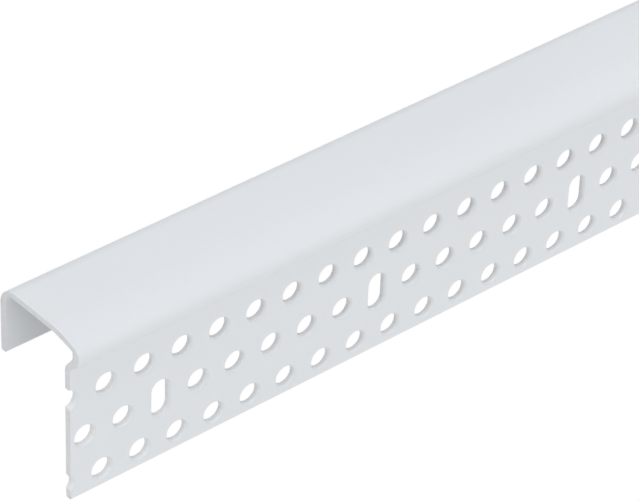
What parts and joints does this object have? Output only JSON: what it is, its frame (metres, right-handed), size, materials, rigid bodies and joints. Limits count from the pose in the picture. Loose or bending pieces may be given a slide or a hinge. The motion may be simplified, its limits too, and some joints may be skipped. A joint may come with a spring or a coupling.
{
  "type": "drywall edge trim",
  "caption": "J-shaped vinyl trim that caps a gypsum board's edge, with a short back leg, a web, a raised nose and a perforated flange.",
  "frame": {"origin": "midway along the length and across the width, on the level that the back leg lies on", "axes": "+X along the length towards the cut end that the picture shows, the web's outer face towards -Y, the flange's outer face towards +Z"},
  "size_m": [2.4384, 0.036, 0.0225],
  "materials": {
    "vinyl": "satin white extruded rigid vinyl"
  },
  "bodies": {
    "root": {"edge_trim": "vinyl"}
  },
  "joints": []
}
